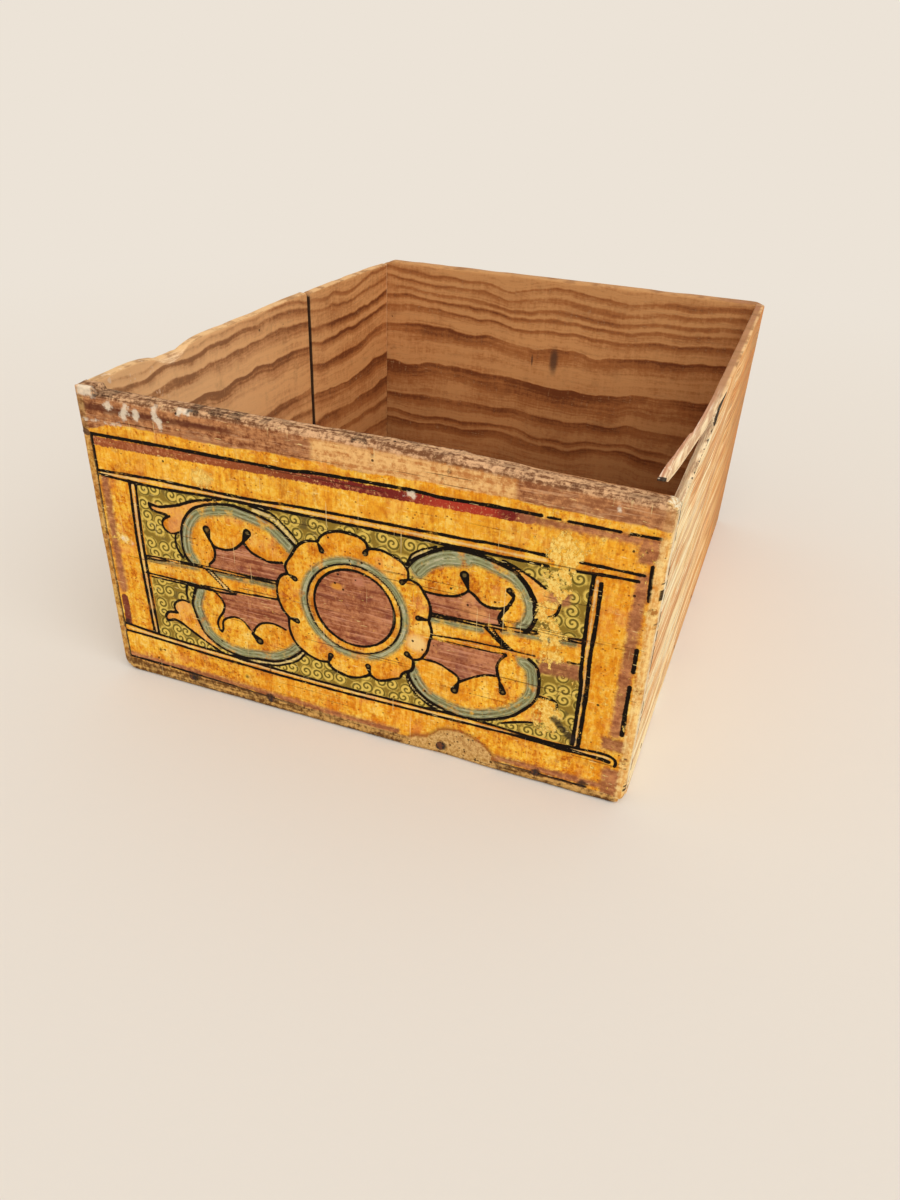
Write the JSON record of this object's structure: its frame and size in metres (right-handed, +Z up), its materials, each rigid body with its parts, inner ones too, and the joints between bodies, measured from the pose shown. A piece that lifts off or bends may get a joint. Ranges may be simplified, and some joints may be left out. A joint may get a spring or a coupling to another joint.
{
  "type": "apothecary box",
  "caption": "Open-topped nailed pine storage box with a painted strapwork front, an open joint in its left wall and a split, sprung strip on its right rim.",
  "frame": {"origin": "middle of the underside of the whole box", "axes": "+X to the right seen from the painted front, +Y from the front to the back, +Z up"},
  "size_m": [0.2764, 0.3424, 0.158],
  "materials": {
    "painted_front": "hand-painted ochre ground with black line ornament, worn to bare pine along the edges",
    "pine": "bare aged pine with strong brown grain",
    "bottom_pine": "bare aged pine, darker with dust",
    "nail_iron": "dark forged iron, rusted"
  },
  "bodies": {
    "root": {"front_board": "painted_front", "back_board": "pine", "left_wall_front": "pine", "left_wall_rear": "pine", "right_wall": "pine", "bottom_board_front": "bottom_pine", "bottom_board_rear": "bottom_pine", "nails_front_left": "nail_iron", "nails_front_right": "nail_iron", "nails_back_left": "nail_iron", "nails_back_right": "nail_iron", "nails_bottom_front": "nail_iron", "nails_bottom_back": "nail_iron", "nails_bottom_left": "nail_iron", "nails_bottom_right": "nail_iron"}
  },
  "joints": []
}
